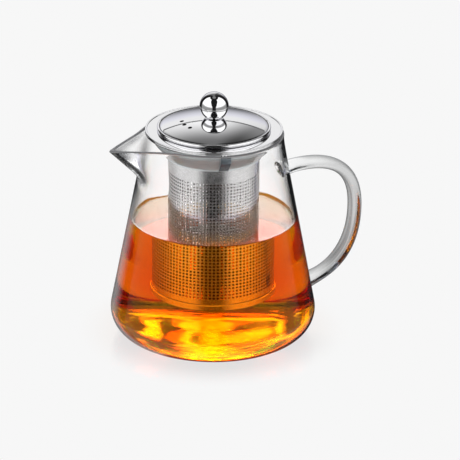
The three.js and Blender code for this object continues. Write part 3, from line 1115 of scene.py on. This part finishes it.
def outer_panels(nodes, around, height):
    """Two softboxes beside the camera, with a dark gap between them that widens upwards."""
    widening = nodes.math("ADD", nodes.step(height, 4, 24, -9, 0), nodes.step(height, 20, 62, 0, 20))
    past_gap = nodes.math("SUBTRACT", around, widening)
    panel = nodes.product(
        nodes.step(past_gap, *SOFTBOX_START),
        nodes.step(around, *SOFTBOX_END, 1, 0),
        nodes.step(height, *SOFTBOX_TOP, 1, 0),
    )
    gap = nodes.step(height, *UNDER_TABLE, 0.3, 0.012)
    low = nodes.step(height, *UNDER_TABLE, 0.8, 0.32)
    return nodes.blend(panel, gap, nodes.step(height, *SOFTBOX_FOOT, low, SOFTBOX))


def outer_wall(nodes, turn, height):
    """The wall behind the pot: hazy up to a thin dark line, and bright above it."""
    on_right = nodes.step(turn, -1, 1)
    haze = nodes.product(
        nodes.step(height, *HAZE_HEIGHT, HAZE_LOW, HAZE),
        nodes.blend(on_right, 1.0, nodes.step(turn, 150, 176, 0.6, 1.0)),
    )
    haze = nodes.mix(nodes.step(height, 12, 20), nodes.tinted(haze, HAZE_BLUE), haze)
    left, right = nodes.step(turn, -150, -178, 0.6, 1.0), nodes.step(turn, 164, 179, 0.25, 1.0)
    bright = nodes.product(nodes.blend(on_right, left, right), nodes.step(height, 26, 56, 1.02, 0.17))
    wall = nodes.mix(nodes.step(height, *WALL_TOP), haze, bright)
    line = nodes.product(nodes.step(height, *WALL_LINE[:2]), nodes.step(height, *WALL_LINE[2:], 1, 0))
    return nodes.mix(line, wall, LINE_GREY)


def outer_room(nodes, turn, height):
    """What steel and the outside of the glass reflect."""
    around = nodes.math("ABSOLUTE", turn)
    panels, wall = outer_panels(nodes, around, height), outer_wall(nodes, turn, height)
    room = nodes.mix(nodes.step(around, *WALL_START), panels, wall)
    return nodes.mix(nodes.step(height, *CEILING), room, CEILING_GREY)


def inner_room(nodes, around, height):
    """What shows by reflection inside the glass and the tea: a pale room and a strong strip behind it.

    For a ray that has crossed the tea the strip is patchy, and the low room is not dimmed.
    """
    crossed_tea = nodes.path_over("Transmission Depth", CROSSED_TEA)
    front = nodes.step(around, 14, 50, nodes.blend(crossed_tea, 0.07, 0.2), 1.0)
    at_table = nodes.step(nodes.away(height, TABLE_HEIGHT), *TABLE_BAND, 0.1, 1.0)
    room = nodes.product(
        nodes.math("MAXIMUM", front, nodes.step(height, 0, 20)),
        nodes.step(around, 85, 130, 1, 0.6),
        nodes.math("MAXIMUM", crossed_tea, at_table),
        nodes.step(height, -65, -42, 0.08, 1.0),
    )
    patches = nodes.noise(2.2, stretch=(1, 1, 4), kind="Generated", distortion=1.6)
    patchy = nodes.step(patches, 0.44, 0.62, 0.05 * STRIP, STRIP)
    even = nodes.step(patches, 0.3, 0.7, 3.6, 6.0)
    strip = nodes.product(
        nodes.step(height, *STRIP_FOOT),
        nodes.step(height, *STRIP_TOP, 1, 0),
        nodes.step(around, *STRIP_MIDDLE, 0.25, 1.0),
        nodes.step(around, *STRIP_SIDES),
    )
    level = nodes.blend(strip, room, nodes.blend(crossed_tea, even, patchy))
    mirrored, often = (nodes.path_over("Transmission Depth", n) for n in (MIRRORED_IN_TEA, MIRRORED_OFTEN))
    gain = nodes.mix(mirrored, TEA_GAIN, nodes.mix(often, MIRRORED_GAIN, OFTEN_GAIN))
    return nodes.tinted(level, nodes.mix(crossed_tea, WHITE, gain))


def make_world():
    """A plain pale backdrop, and for reflections the two rooms, chosen by how a ray has come."""
    world = bpy.data.worlds.new("studio")
    bpy.context.scene.world = world
    world.use_nodes = True
    nodes = Nodes(world.node_tree)
    turn, height = world_angles(nodes)
    crossed = nodes.path_over("Transmission Depth", 0.5)
    outside = nodes.tinted(outer_room(nodes, turn, height), nodes.blend(crossed, 1.0, OUTSIDE_LOSS))
    inside = inner_room(nodes, nodes.math("ABSOLUTE", turn), height)
    room = nodes.mix(nodes.path_over("Transmission Depth", CROSSED_GLASS), outside, inside)
    glow = nodes.add("ShaderNodeBackground")
    plain = nodes.product(glass_gain(nodes), BACKDROP)
    nodes.link(nodes.mix(reflected(nodes), plain, room), glow.inputs["Color"])
    nodes.show("ShaderNodeOutputWorld", glow.outputs[0])


def make_studio():
    make_camera()
    make_floor()
    make_world()
    scene = bpy.context.scene
    scene.view_settings.view_transform = "Standard"
    scene.cycles.max_bounces = 40  # light is reflected many times inside the tea
    scene.cycles.transmission_bounces = 30
    scene.cycles.glossy_bounces = 10


make_pot()
make_tea()
make_collar_ring()
make_funnel()
for clip_number, clip_angle in enumerate(CLIP_ANGLES, start=1):
    make_clip(clip_number, clip_angle)
make_basket_tube()
make_basket_base()
make_lid_dome()
make_lid_skirt()
make_ball()
make_screw()
make_washer()
make_studio()
